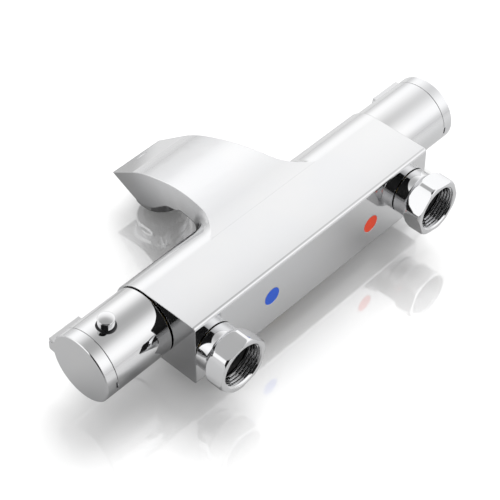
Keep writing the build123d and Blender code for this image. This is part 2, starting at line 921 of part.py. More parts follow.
spring_room = spool_web_start - outlet_end
return_spring = coil(across(0), return_spring_radius, spring_wire, outlet_end, spring_room, 5)
return_spring.part.label = "return_spring"
export_step(return_spring.part, "parts/return_spring.step")


# Handles
def splined_adaptor(side):
    """Plastic insert between a spindle's splines and the handle's hub."""
    with BuildPart() as adaptor:
        adaptor_end = hub_end - hub_floor - seat
        section = ring_points(hub_start + face_gap, adaptor_end, hub_bore - seat, spline_radius + seat)
        revolve(profile(section, axial(side)), axis=bar_axis)
        with BuildSketch(across_turned(hub_start + face_gap, side)):
            with PolarLocations(hub_bore + 0.3, 4):
                Rectangle(1.6, 2.4)
        extrude(amount=adaptor_end - hub_start - face_gap - 0.05)
    return adaptor


temperature_adaptor = splined_adaptor(1)
temperature_adaptor.part.label = "temperature_adaptor"
export_step(temperature_adaptor.part, "parts/temperature_adaptor.step")

flow_adaptor = splined_adaptor(-1)
flow_adaptor.part.label = "flow_adaptor"
export_step(flow_adaptor.part, "parts/flow_adaptor.step")


def button_plane(height):
    """Plane square to the button's travel, at a height over the bar's axis."""
    centre = tuple(o + height * d for o, d in zip((button_x, axis_y, axis_z), up_dir))
    return Plane(origin=centre, x_dir=(1, 0, 0), z_dir=up_dir)


def handle_sleeve(side, with_button):
    """Round shell with a web and a hub; the temperature side also carries the safety button."""
    with BuildPart() as sleeve:
        shell = ring_points(handle_start, sleeve_outer_end, handle_radius, sleeve_inner)
        revolve(profile(shell, axial(side)), axis=bar_axis)
        web = ring_points(web_start, web_start + web_thickness, sleeve_inner + 0.3, hub_radius - 0.3)
        revolve(profile(web, axial(side)), axis=bar_axis)
        hub = (
            (hub_start, hub_bore),
            (hub_end - hub_floor, hub_bore),
            (hub_end - hub_floor, screw_hole),
            (hub_end, screw_hole),
            (hub_end, hub_radius),
            (hub_start, hub_radius),
        )
        revolve(profile(hub, axial(side)), axis=bar_axis)
        with BuildSketch(across_turned(hub_start - 1, side)):
            with PolarLocations(hub_bore + 0.3, 4):
                Rectangle(1.6 + 2 * seat, 2.4 + 2 * seat)
        extrude(amount=hub_end - hub_floor - hub_start + 1, mode=Mode.SUBTRACT)
        if with_button:
            with BuildSketch(button_plane(hub_radius)):
                with Locations((web_start + web_thickness / 2 - button_x, 0)):
                    Rectangle(web_thickness + 1, tongue_width + 2 * loose)
            extrude(amount=button_foot + tongue_thickness + loose - hub_radius, mode=Mode.SUBTRACT)
            with BuildSketch(button_plane(shelf_top - shelf_thickness)):
                with Locations(((shelf_end + hub_end) / 2 - 0.2 - button_x, 0)):
                    Rectangle(shelf_end - hub_end + 0.4, shelf_width)
            extrude(amount=shelf_thickness)
            extrude(disc(button_plane(sleeve_inner - 4), collar_radius + seat), amount=10, mode=Mode.SUBTRACT)
    return sleeve


temperature_sleeve = handle_sleeve(1, True)
temperature_sleeve.part.label = "temperature_sleeve"
export_step(temperature_sleeve.part, "parts/temperature_sleeve.step")

flow_sleeve = handle_sleeve(-1, False)
flow_sleeve.part.label = "flow_sleeve"
export_step(flow_sleeve.part, "parts/flow_sleeve.step")


def lever_section(side, x, inner):
    """Section of the lever fin: parallel sides under a round top."""
    with BuildSketch(across_turned(x, side)) as fin:
        with Locations((-side * handle_radius, 0)):
            Rectangle(2 * handle_radius - 4, lever_width)
        Circle(handle_radius + lever_height, mode=Mode.INTERSECT)
        Circle(inner, mode=Mode.SUBTRACT)
    return fin.sketch


def end_cap(side):
    """End cap that plugs into the sleeve and carries the lever fin over it."""
    with BuildPart() as cap:
        section = (
            (cap_start - cap_plug, sleeve_inner - 2.0),
            (cap_start - cap_plug, sleeve_inner - seat),
            (cap_start, sleeve_inner - seat),
            (cap_start, handle_radius),
            (handle_end - cap_edge, handle_radius),
            (handle_end, handle_radius - cap_edge),
            (handle_end, 0),
            (handle_end - cap_wall, 0),
            (handle_end - cap_wall, sleeve_inner - 2.0),
        )
        revolve(profile(section, axial(side)), axis=bar_axis)
        extrude(lever_section(side, cap_start, handle_radius - 1), amount=cap_thickness)
        extrude(lever_section(side, lever_start, handle_radius + seat), amount=cap_start - lever_start)
        for x in (lever_start - 1, handle_end - 1.5):
            with BuildSketch(across_turned(x, side)):
                with Locations((-side * (handle_radius + lever_height), 2.0)):
                    Rectangle(5.2, lever_slot)
            extrude(amount=2.5, mode=Mode.SUBTRACT)
        with BuildSketch(across_turned(cap_start - 0.1, side)):
            with Locations((side * handle_radius, 0)):
                Rectangle(2.4, pry_width)
        extrude(amount=pry_notch, mode=Mode.SUBTRACT)
    return cap


temperature_end_cap = end_cap(1)
temperature_end_cap.part.label = "temperature_end_cap"
export_step(temperature_end_cap.part, "parts/temperature_end_cap.step")

flow_end_cap = end_cap(-1)
flow_end_cap.part.label = "flow_end_cap"
export_step(flow_end_cap.part, "parts/flow_end_cap.step")


def handle_screw(side):
    """Socket screw from the hub into the spindle."""
    with BuildPart() as screw:
        section = (
            (spindle_end - 7, 0),
            (spindle_end - 7, 1.9),
            (spindle_end, 2.05),
            (hub_end, 2.4),
            (hub_end, 4.2),
            (hub_end + 3, 4.2),
            (hub_end + 3, 0),
        )
        revolve(profile(section, axial(side)), axis=bar_axis)
        with BuildSketch(across_turned(hub_end + 1.2, side)):
            RegularPolygon(1.5, 6, major_radius=False)
        extrude(amount=3, mode=Mode.SUBTRACT)
    return screw


temperature_screw = handle_screw(1)
temperature_screw.part.label = "temperature_screw"
export_step(temperature_screw.part, "parts/temperature_screw.step")

flow_screw = handle_screw(-1)
flow_screw.part.label = "flow_screw"
export_step(flow_screw.part, "parts/flow_screw.step")

# Safety button: guided in a dark collar, with a tongue that reaches back to the stop ring
button_top = handle_radius + button_height
dome_radius = (button_radius**2 + button_dome**2) / (2 * button_dome)
with BuildPart() as safety_button:
    extrude(disc(button_plane(button_foot + 1), button_radius), amount=button_top - button_foot - 1)
    with Locations(button_plane(button_top - dome_radius)):
        Sphere(dome_radius, mode=Mode.INTERSECT)
    rim = [e for e in safety_button.edges() if e.length > 2 * math.pi * button_radius - 0.1]
    fillet(ShapeList(rim).sort_by(Axis.Z)[-1], button_edge)
    extrude(disc(button_plane(button_foot), button_flange_radius), amount=button_foot_thickness)
    with BuildSketch(button_plane(button_foot)):
        with Locations(((tongue_end - button_x) / 2, 0)):
            Rectangle(button_x - tongue_end, tongue_width)
    extrude(amount=tongue_thickness)
    extrude(disc(button_plane(button_foot - 1), button_spring_radius + 0.8), amount=5, mode=Mode.SUBTRACT)
safety_button.part.label = "safety_button"
export_step(safety_button.part, "parts/safety_button.step")

with BuildPart() as button_collar:
    collar_foot = button_foot + tongue_thickness + loose
    extrude(disc(button_plane(collar_foot), collar_radius), amount=handle_radius - collar_foot - 0.1)
    extrude(
        disc(button_plane(collar_foot - 1), button_radius + running),
        amount=10,
        mode=Mode.SUBTRACT,
    )
button_collar.part.label = "button_collar"
export_step(button_collar.part, "parts/button_collar.step")

button_spring = coil(button_plane(0), button_spring_radius, 0.5, shelf_top, button_foot + 4 - shelf_top, 4)
button_spring.part.label = "button_spring"
export_step(button_spring.part, "parts/button_spring.step")

# Flow cartridge: rubber base, two ceramic discs and a spindle that turns the outer disc
with BuildPart() as flow_seal:
    extrude(
        disc(across(-seal_end), flow_chamber_radius - 0.4, mixed_bore),
        amount=seal_thickness,
    )
flow_seal.part.label = "flow_seal"
export_step(flow_seal.part, "parts/flow_seal.step")

with BuildPart() as fixed_disc:
    extrude(disc(across(-fixed_end), fixed_disc_radius), amount=disc_thickness)
    with BuildSketch(across(-fixed_end - 1)):
        with PolarLocations(6.8, 2, start_angle=90):
            Circle(3.2)
    extrude(amount=disc_thickness + 2, mode=Mode.SUBTRACT)
fixed_disc.part.label = "fixed_disc"
export_step(fixed_disc.part, "parts/fixed_disc.step")

with BuildPart() as moving_disc:
    extrude(disc(across(-moving_end), moving_disc_radius), amount=disc_thickness)
    with BuildSketch(across(-moving_end - 1)):
        with Locations((0, moving_disc_radius)):
            Rectangle(9, 12)
    extrude(amount=disc_thickness + 2, mode=Mode.SUBTRACT)
    with BuildSketch(across(-moving_end - 1)):
        with PolarLocations(8.0, 2):
            Rectangle(3.2, 4.2)
    extrude(amount=2.6, mode=Mode.SUBTRACT)
moving_disc.part.label = "moving_disc"
export_step(moving_disc.part, "parts/moving_disc.step")

with BuildPart() as flow_housing:
    section = (
        (seal_end + seat, fixed_disc_radius + seat),
        (seal_end + seat, housing_radius),
        (housing_end, housing_radius),
        (housing_end, neck_radius),
        (neck_end, neck_radius),
        (neck_end, spindle_radius + running),
        (fork_end + face_gap, spindle_radius + running),
        (fork_end + face_gap, fixed_disc_radius + seat),
    )
    revolve(profile(section, axial(-1)), axis=bar_axis)
    outlets = ((0, -1, 0), (0, 0, -1))
    for direction in outlets:
        port = Plane(origin=(-(fixed_end + fork_end) / 2, axis_y, axis_z), x_dir=(1, 0, 0), z_dir=direction)
        extrude(disc(port, 2.6), amount=20, mode=Mode.SUBTRACT)
flow_housing.part.label = "flow_housing"
export_step(flow_housing.part, "parts/flow_housing.step")

with BuildPart() as flow_spindle:
    section = (
        (moving_end, 0),
        (moving_end, moving_disc_radius - 0.6),
        (fork_end, moving_disc_radius - 0.6),
        (fork_end, spindle_radius),
        (neck_end, spindle_radius),
        (neck_end, spline_radius),
        (spindle_end, spline_radius),
        (spindle_end, 0),
    )
    revolve(profile(section, axial(-1)), axis=bar_axis)
    with BuildSketch(across(-moving_end)):
        with PolarLocations(8.0, 2):
            Rectangle(3.0, 4.0)
    extrude(amount=1.4)
    extrude(splines(-1, neck_end + 0.4), amount=20, mode=Mode.SUBTRACT)
    extrude(disc(across(-spindle_end + 9), 2.1), amount=-20, mode=Mode.SUBTRACT)
flow_spindle.part.label = "flow_spindle"
export_step(flow_spindle.part, "parts/flow_spindle.step")

flow_clamp_nut = clamp_nut(-1, flow_nut_start, flow_chamber_radius - seat)
flow_clamp_nut.part.label = "flow_clamp_nut"
export_step(flow_clamp_nut.part, "parts/flow_clamp_nut.step")

# Aerator in the spout's boss
aerator_centre = axis_y - aerator_reach
aerator_axis = Axis((0, aerator_centre, 0), (0, 0, 1))
aerator_plane = Plane(origin=(0, aerator_centre, axis_z), x_dir=(1, 0, 0), z_dir=(0, -1, 0))
rim_top = boss_face - 0.15
thread_top = boss_face + aerator_thread_length
insert_seat = aerator_bottom + lip_height
with BuildPart() as aerator_housing:
    section = (
        (insert_radius, insert_seat),
        (lip_radius, insert_seat),
        (lip_radius, aerator_bottom),
        (aerator_radius - 1.0, aerator_bottom),
        (aerator_radius - 0.3, aerator_bottom + 0.7),
        (aerator_radius - 0.3, rim_top),
        (aerator_thread, rim_top),
        (aerator_thread, thread_top),
        (insert_radius, thread_top),
    )
    revolve(profile(section, aerator_plane), axis=aerator_axis)
    with BuildSketch(Plane((0, aerator_centre, axis_z + aerator_bottom))):
        with PolarLocations(aerator_radius, 2):
            Rectangle(2 * key_flat_depth, key_flat_width)
    extrude(amount=key_flat_height, mode=Mode.SUBTRACT)
aerator_housing.part.label = "aerator_housing"
export_step(aerator_housing.part, "parts/aerator_housing.step")

with BuildPart() as aerator_insert:
    with BuildSketch(Plane((0, aerator_centre, axis_z + insert_seat + face_fit))):
        Circle(insert_radius - seat)
    extrude(amount=thread_top - insert_seat - face_gap - face_fit)
    with BuildSketch(Plane((0, aerator_centre, axis_z + insert_seat + face_fit))):
        with GridLocations(grid_pitch, grid_pitch, 5, 5):
            Rectangle(grid_cell, grid_cell)
    extrude(amount=grid_depth, mode=Mode.SUBTRACT)
    with BuildSketch(Plane((0, aerator_centre, axis_z + thread_top - cup_depth))):
        Circle(cup_radius)
    extrude(amount=cup_depth + 1, mode=Mode.SUBTRACT)
    with BuildSketch(Plane((0, aerator_centre, axis_z + insert_seat))):
        with PolarLocations(jet_ring, 8):
            Circle(jet_radius)
    extrude(amount=thread_top - insert_seat, mode=Mode.SUBTRACT)
aerator_insert.part.label = "aerator_insert"
export_step(aerator_insert.part, "parts/aerator_insert.step")

with BuildPart() as aerator_washer:
    with BuildSketch(Plane((0, aerator_centre, axis_z + thread_top))):
        Circle(aerator_thread - face_gap)
        Circle(cup_radius + 0.4, mode=Mode.SUBTRACT)
    extrude(amount=aerator_washer_thickness)
aerator_washer.part.label = "aerator_washer"
export_step(aerator_washer.part, "parts/aerator_washer.step")

# Shower outlet nipple
outlet_axis = Axis((outlet_x, axis_y + outlet_back, 0), (0, 0, 1))
outlet_centre = (outlet_x, axis_y + outlet_back, axis_z - bar_radius)
outlet_plane = Plane(origin=outlet_centre, x_dir=(1, 0, 0), z_dir=(0, -1, 0))
shoulder_top = -0.85
shoulder_bottom = shoulder_top - outlet_shoulder
with BuildPart() as shower_nipple:
    section = (
        (outlet_bore_radius, outlet_into_body - 0.5),
        (outlet_radius - 0.4, outlet_into_body - 0.5),
        (outlet_radius - 0.4, shoulder_top),
        (outlet_shoulder_radius, shoulder_top),
        (outlet_shoulder_radius, shoulder_bottom),
        (outlet_radius, shoulder_bottom),
        (outlet_radius, shoulder_bottom - outlet_thread + 1),
        (outlet_radius - 1, shoulder_bottom - outlet_thread),
        (outlet_bore_radius, shoulder_bottom - outlet_thread),
    )
    revolve(profile(section, outlet_plane), axis=outlet_axis)
shower_nipple.part.label = "shower_nipple"
export_step(shower_nipple.part, "parts/shower_nipple.step")
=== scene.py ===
import bpy
import bmesh
import json
import math
from mathutils import Matrix, Vector


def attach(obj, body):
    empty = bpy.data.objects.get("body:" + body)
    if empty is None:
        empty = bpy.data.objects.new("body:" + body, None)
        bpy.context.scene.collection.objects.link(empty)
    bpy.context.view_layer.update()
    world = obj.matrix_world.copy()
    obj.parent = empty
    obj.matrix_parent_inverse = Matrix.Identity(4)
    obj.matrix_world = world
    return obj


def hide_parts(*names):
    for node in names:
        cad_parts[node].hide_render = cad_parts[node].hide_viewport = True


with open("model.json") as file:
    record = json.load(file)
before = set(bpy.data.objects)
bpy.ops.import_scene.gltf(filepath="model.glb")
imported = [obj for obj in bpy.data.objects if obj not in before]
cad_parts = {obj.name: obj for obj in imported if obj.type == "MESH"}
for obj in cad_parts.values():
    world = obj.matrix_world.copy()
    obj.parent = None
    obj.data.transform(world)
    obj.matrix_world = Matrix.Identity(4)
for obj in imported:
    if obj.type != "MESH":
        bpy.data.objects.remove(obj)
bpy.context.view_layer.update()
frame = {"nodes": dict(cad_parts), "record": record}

# Sizes in metres, in the shared frame
AXIS_Y, AXIS_Z = -0.056, 0.0008
FLOOR_Z = -0.0347
FLOOR_SIZE = 12
INLET_X = 0.075
WELD = 1e-6

# Largest angle between facets that are shaded as one surface, in degrees
SMALL_PARTS_ANGLE = 28
CASTING_ANGLE = 12

# Inner thread of the union nuts. Its half widths, at the bore and at the bottom, are shares
# of the pitch, and the cutter reaches into the bore by the overlap.
THREAD_MINOR = 0.01206
THREAD_ROOT = 0.0132
THREAD_OVERLAP = 0.0006
THREAD_PITCH = 0.001814
THREAD_HALF_MOUTH = 0.44
THREAD_HALF_BOTTOM = 0.07
THREAD_START = 0.0012
THREAD_END = -0.0084
THREAD_STEPS = 72

# Sloped face of the spout's nose: lower and upper edge, measured from the handles' axis
NOSE_LOW = (-0.0980, -0.0118)
NOSE_HIGH = (-0.0790, 0.0026)
NOSE_CUT = 0.00001
NOSE_MARGIN = 0.003
NOSE_CUT_LENGTH = 0.029
NOSE_CUT_HALF_WIDTH = 0.045

# Crown of the casting's top, on the faces whose normal's Z is over the last value
CROWN_FRONT = AXIS_Y - 0.014
CROWN_BACK = AXIS_Y + 0.032
CROWN_HEIGHT = 0.0017
CROWN_MIN_UP = 0.7

# Camera, fitted to the photograph: its place and axes, and its lens in millimetres
CAMERA_PLACE = (0.4652096, 0.3696086, 0.6502159)
CAMERA_RIGHT = (-0.6870154, 0.7266326, 0.0038667)
CAMERA_UP = (-0.5257682, -0.5007614, 0.6876088)
CAMERA_BACK = (0.5015752, 0.4703648, 0.7260711)
LENS = 124.22694
SENSOR = 36.0

# Direction from the tap to the camera, and its level part
TO_CAMERA = (0.5016, 0.4704, 0.7261)
TO_CAMERA_LEVEL = (0.7294, 0.6841, 0)

# Studio: grey levels of the mirrored room by height, their strength, how far the dark part
# round the camera takes them down, and the level that lights all that isn't a mirror
ROOM_LEVELS = (
    (0.0, 0.62), (0.14, 0.72), (0.32, 0.98), (0.55, 1.0), (0.68, 0.86),
    (0.76, 0.76), (0.84, 0.52), (0.90, 0.40), (1.0, 0.34),
)
ROOM_STRENGTH = 1.25
ROOM_DARKENING = 0.988
ROOM_LIGHT = 0.78
LAMPS_AIM = (0, -0.05, 0)


class Tree:
    """Builds a node tree with short calls."""

    def __init__(self, tree):
        self.t = tree
        self.t.nodes.clear()

    def add(self, kind, **values):
        node = self.t.nodes.new(kind)
        for key, value in values.items():
            setattr(node, key, value)
        return node

    def link(self, a, b):
        self.t.links.new(a, b)

    def feed(self, socket, value):
        if isinstance(value, bpy.types.NodeSocket):
            self.link(value, socket)
        elif value is not None:
            socket.default_value = value

    def math(self, op, a, b=None, c=None):
        node = self.add("ShaderNodeMath", operation=op)
        for socket, value in zip(node.inputs, (a, b, c)):
            self.feed(socket, value)
        return node.outputs[0]

    def vector_math(self, op, a, b=None):
        node = self.add("ShaderNodeVectorMath", operation=op)
        for socket, value in zip(node.inputs, (a, b)):
            self.feed(socket, value)
        return node

    def dot(self, a, b):
        return self.vector_math("DOT_PRODUCT", a, b).outputs["Value"]

    def split(self, vector):
        node = self.add("ShaderNodeSeparateXYZ")
        self.link(vector, node.inputs[0])
        return node.outputs

    def smooth(self, x, lo, hi, out_lo=0.0, out_hi=1.0):
        node = self.add("ShaderNodeMapRange", interpolation_type="SMOOTHSTEP", clamp=True)
        names = ("Value", "From Min", "From Max", "To Min", "To Max")
        for name, value in zip(names, (x, lo, hi, out_lo, out_hi)):
            self.feed(node.inputs[name], value)
        return node.outputs["Result"]

    def noise(self, vector, scale, detail):
        node = self.add("ShaderNodeTexNoise")
        self.feed(node.inputs["Vector"], vector)
        node.inputs["Scale"].default_value = scale
        node.inputs["Detail"].default_value = detail
        node.inputs["Roughness"].default_value = 0.5
        return node.outputs["Fac"]

    def mix(self, fac, a, b):
        node = self.add("ShaderNodeMix", data_type="RGBA")
        self.feed(node.inputs[0], fac)
        self.feed(node.inputs[6], a)
        self.feed(node.inputs[7], b)
        return node.outputs[2]

    def mix_value(self, fac, a, b):
        node = self.add("ShaderNodeMix", data_type="FLOAT")
        for index, value in ((0, fac), (2, a), (3, b)):
            self.feed(node.inputs[index], value)
        return node.outputs[0]

    def mapping(self, scale=(1, 1, 1)):
        coords = self.add("ShaderNodeTexCoord")
        node = self.add("ShaderNodeMapping")
        node.inputs["Scale"].default_value = scale
        self.link(coords.outputs["Object"], node.inputs["Vector"])
        return node.outputs["Vector"]

    def bump(self, height, strength, distance, normal=None):
        node = self.add("ShaderNodeBump")
        node.inputs["Strength"].default_value = strength
        node.inputs["Distance"].default_value = distance
        self.link(height, node.inputs["Height"])
        if normal is not None:
            self.link(normal, node.inputs["Normal"])
        return node.outputs["Normal"]


# Materials
def new_material(name):
    m = bpy.data.materials.new(name)
    m.use_nodes = True
    t = Tree(m.node_tree)
    out = t.add("ShaderNodeOutputMaterial")
    shader = t.add("ShaderNodeBsdfPrincipled")
    t.link(shader.outputs[0], out.inputs["Surface"])
    return m, t, shader


def crown(t):
    """Height of the slight crown with which the casting's round front runs into its flat top."""
    coords = t.add("ShaderNodeTexCoord")
    y = t.split(coords.outputs["Object"])["Y"]
    facing = t.add("ShaderNodeNewGeometry")
    up = t.split(facing.outputs["True Normal"])["Z"]
    rise = t.smooth(y, CROWN_FRONT, CROWN_BACK, 0.0, CROWN_HEIGHT)
    return t.math("MULTIPLY", rise, t.math("GREATER_THAN", up, CROWN_MIN_UP))


def chrome(name, tint, rough, edge, crowned=False):
    """Bright plating with softened edges, a faint haze and polishing marks."""
    m, t, s = new_material(name)
    haze = t.noise(t.mapping(), 35.0, 4.0)
    marks = t.noise(t.mapping((40, 900, 900)), 1.0, 2.0)
    s.inputs["Metallic"].default_value = 1.0
    clear = (tint, tint, tint * 1.005, 1)
    hazy = (tint * 0.98, tint * 0.985, tint, 1)
    t.link(t.mix(t.smooth(haze, 0.3, 0.7), clear, hazy), s.inputs["Base Color"])
    t.link(t.smooth(haze, 0.35, 0.75, rough, rough + 0.02), s.inputs["Roughness"])
    soft_edge = t.add("ShaderNodeBevel", samples=6)
    soft_edge.inputs["Radius"].default_value = edge
    normal = soft_edge.outputs["Normal"]
    if crowned:
        normal = t.bump(crown(t), 1.0, 1.0, normal)
    t.link(t.bump(marks, 0.05, 0.00002, normal), s.inputs["Normal"])
    return m


def plastic(name, colour, rough, grain=250.0, depth=0.12):
    m, t, s = new_material(name)
    g = t.noise(t.mapping(), grain, 3.0)
    darker = tuple(c * 0.86 for c in colour) + (1,)
    t.link(t.mix(g, tuple(colour) + (1,), darker), s.inputs["Base Color"])
    t.link(t.smooth(g, 0.3, 0.7, rough * 0.9, rough * 1.15), s.inputs["Roughness"])
    t.link(t.bump(g, depth, 0.0001), s.inputs["Normal"])
    return m


def metal(name, colour, rough):
    """Machined or drawn metal with fine tool marks."""
    m, t, s = new_material(name)
    g = t.noise(t.mapping((200, 2000, 2000)), 1.0, 3.0)
    darker = tuple(c * 0.8 for c in colour) + (1,)
    t.link(t.mix(g, tuple(colour) + (1,), darker), s.inputs["Base Color"])
    s.inputs["Metallic"].default_value = 1.0
    t.link(t.smooth(g, 0.3, 0.7, rough * 0.8, rough * 1.2), s.inputs["Roughness"])
    t.link(t.bump(g, 0.2, 0.00005), s.inputs["Normal"])
    return m


def enamel(name, colour):
    m, t, s = new_material(name)
    g = t.noise(t.mapping(), 400.0, 2.0)
    deeper = tuple(c * 0.93 for c in colour) + (1,)
    t.link(t.mix(g, tuple(colour) + (1,), deeper), s.inputs["Base Color"])
    s.inputs["Roughness"].default_value = 0.35
    s.inputs["Specular IOR Level"].default_value = 0.3
    t.link(t.bump(g, 0.05, 0.00003), s.inputs["Normal"])
    return m


BY_SLOT = {
    "chrome_body": chrome("chrome_body", 0.80, 0.05, 0.0007, crowned=True),
    "chrome_trim": chrome("chrome_trim", 0.80, 0.03, 0.0003),
    "bare_brass": metal("bare_brass", (0.62, 0.45, 0.18), 0.28),
    "steel": metal("steel", (0.55, 0.55, 0.56), 0.3),
    "dark_rubber": plastic("dark_rubber", (0.02, 0.02, 0.02), 0.7, 600.0, 0.3),
    "white_plastic": plastic("white_plastic", (0.75, 0.75, 0.73), 0.4),
    "dark_plastic": plastic("dark_plastic", (0.012, 0.012, 0.014), 0.35),
    "ceramic": plastic("ceramic", (0.8, 0.79, 0.75), 0.12, 120.0, 0.02),
    "blue_enamel": enamel("blue_enamel", (0.016, 0.115, 0.74)),
    "red_enamel": enamel("red_enamel", (0.97, 0.068, 0.015)),
}

slot_of = {p["node"]: p["material_slot"] for p in frame["record"]["subparts"]}
for name, node in frame["nodes"].items():
    node.data.materials.clear()
    node.data.materials.append(BY_SLOT[slot_of[name]])


# Smooth shading
def smoothing_group(angle):
    """Joins the facets' corners and shades them smooth up to an angle, in degrees."""
    g = bpy.data.node_groups.new("smooth_by_angle", "GeometryNodeTree")
    g.interface.new_socket("Geometry", in_out="INPUT", socket_type="NodeSocketGeometry")
    g.interface.new_socket("Geometry", in_out="OUTPUT", socket_type="NodeSocketGeometry")
    t = Tree(g)
    start = t.add("NodeGroupInput")
    end = t.add("NodeGroupOutput")
    weld = t.add("GeometryNodeMergeByDistance")
    weld.inputs["Distance"].default_value = WELD
    edge = t.add("GeometryNodeInputMeshEdgeAngle")
    keep = t.add("FunctionNodeCompare", data_type="FLOAT", operation="LESS_EQUAL")
    keep.inputs[1].default_value = math.radians(angle)
    faces = t.add("GeometryNodeSetShadeSmooth", domain="FACE")
    edges = t.add("GeometryNodeSetShadeSmooth", domain="EDGE")
    t.link(start.outputs[0], weld.inputs["Geometry"])
    t.link(weld.outputs[0], faces.inputs["Geometry"])
    t.link(faces.outputs[0], edges.inputs["Geometry"])
    t.link(edge.outputs["Unsigned Angle"], keep.inputs[0])
    t.link(keep.outputs[0], edges.inputs["Shade Smooth"])
    t.link(edges.outputs[0], end.inputs[0])
    return g


def smooth(obj, group):
    """Smooth shading that leaves broad flat faces flat."""
    obj.modifiers.new("smooth", "NODES").node_group = group
    flat = obj.modifiers.new("flat", "WEIGHTED_NORMAL")
    flat.mode = "FACE_AREA"
    flat.weight = 100
    flat.keep_sharp = True


small_parts = smoothing_group(SMALL_PARTS_ANGLE)
casting = smoothing_group(CASTING_ANGLE)
for node in frame["nodes"].values():
    smooth(node, small_parts)


# Pieces cut from CAD nodes
def new_object(name, data):
    obj = bpy.data.objects.new(name, data)
    bpy.context.scene.collection.objects.link(obj)
    return obj


def cut_copy(source, cutter, name, slot, group):
    """A copy of a CAD node's mesh with the cutter taken away from it."""
    blank = new_object("blank", frame["nodes"][source].data.copy())
    blank.modifiers.new("weld", "WELD").merge_threshold = WELD
    cut = blank.modifiers.new("cut", "BOOLEAN")
    cut.operation = "DIFFERENCE"
    cut.solver = "EXACT"
    cut.object = cutter
    bpy.context.view_layer.update()
    dg = bpy.context.evaluated_depsgraph_get()
    mesh = bpy.data.meshes.new_from_object(blank.evaluated_get(dg))
    mesh.name = name
    piece = new_object(name, mesh)
    bpy.data.objects.remove(blank)
    bpy.data.objects.remove(cutter)
    mesh.materials.clear()
    mesh.materials.append(BY_SLOT[slot])
    smooth(piece, group)
    return piece


def thread_cutter(x, start_angle):
    """Helical V groove, as a closed solid that runs in from beyond the nut's mouth."""
    n = int(THREAD_STEPS * (THREAD_START - THREAD_END) / THREAD_PITCH)
    inner = THREAD_MINOR - THREAD_OVERLAP
    section = (
        (THREAD_HALF_MOUTH, inner), (-THREAD_HALF_MOUTH, inner),
        (-THREAD_HALF_BOTTOM, THREAD_ROOT), (THREAD_HALF_BOTTOM, THREAD_ROOT),
    )
    verts, faces = [], []
    for i in range(n + 1):
        a = start_angle + 2 * math.pi * i / THREAD_STEPS
        y = THREAD_START - THREAD_PITCH * i / THREAD_STEPS
        for dy, r in section:
            verts.append((x + r * math.cos(a), y + dy * THREAD_PITCH, r * math.sin(a)))
    for i in range(n):
        for k in range(4):
            p, q = i * 4 + k, i * 4 + (k + 1) % 4
            faces.append((p, q, q + 4, p + 4))
    faces.append((3, 2, 1, 0))
    faces.append(tuple(n * 4 + k for k in range(4)))
    mesh = bpy.data.meshes.new("thread_cutter")
    mesh.from_pydata(verts, [], faces)
    bm = bmesh.new()
    bm.from_mesh(mesh)
    bmesh.ops.recalc_face_normals(bm, faces=bm.faces)
    bm.to_mesh(mesh)
    bm.free()
    return new_object("thread_cutter", mesh)


def nose_cutter():
    """Flat box over the nose's sloped face, which planes it flush above the aerator."""
    low_y, low_z = AXIS_Y + NOSE_LOW[0], AXIS_Z + NOSE_LOW[1]
    high_y, high_z = AXIS_Y + NOSE_HIGH[0], AXIS_Z + NOSE_HIGH[1]
    along = Vector((0, high_y - low_y, high_z - low_z)).normalized()
    out = Vector((0, -along.z, along.y))
    start = Vector((0, low_y, low_z)) - out * NOSE_CUT - along * NOSE_MARGIN
    outline = ((0, 0), (NOSE_CUT_LENGTH, 0), (NOSE_CUT_LENGTH, NOSE_MARGIN), (0, NOSE_MARGIN))
    corners = []
    for x in (-NOSE_CUT_HALF_WIDTH, NOSE_CUT_HALF_WIDTH):
        for a, b in outline:
            corners.append(Vector((x, 0, 0)) + start + along * a + out * b)
    faces = [(0, 1, 2, 3), (7, 6, 5, 4), (0, 4, 5, 1), (1, 5, 6, 2), (2, 6, 7, 3), (3, 7, 4, 0)]
    mesh = bpy.data.meshes.new("nose_cutter")
    mesh.from_pydata(corners, [], faces)
    return new_object("nose_cutter", mesh)


for label, inlet_x, start_angle in (("cold", INLET_X, 0.6), ("hot", -INLET_X, 2.0)):
    name = label + "_union_nut"
    cutter = thread_cutter(inlet_x, start_angle)
    nut = cut_copy(name, cutter, name + "_threaded", "chrome_trim", small_parts)
    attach(nut, label + "_nut")
    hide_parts(label + "_union_nut")

cast = cut_copy("body", nose_cutter(), "body_cast", "chrome_body", casting)
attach(cast, "valve_body")
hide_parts("body")


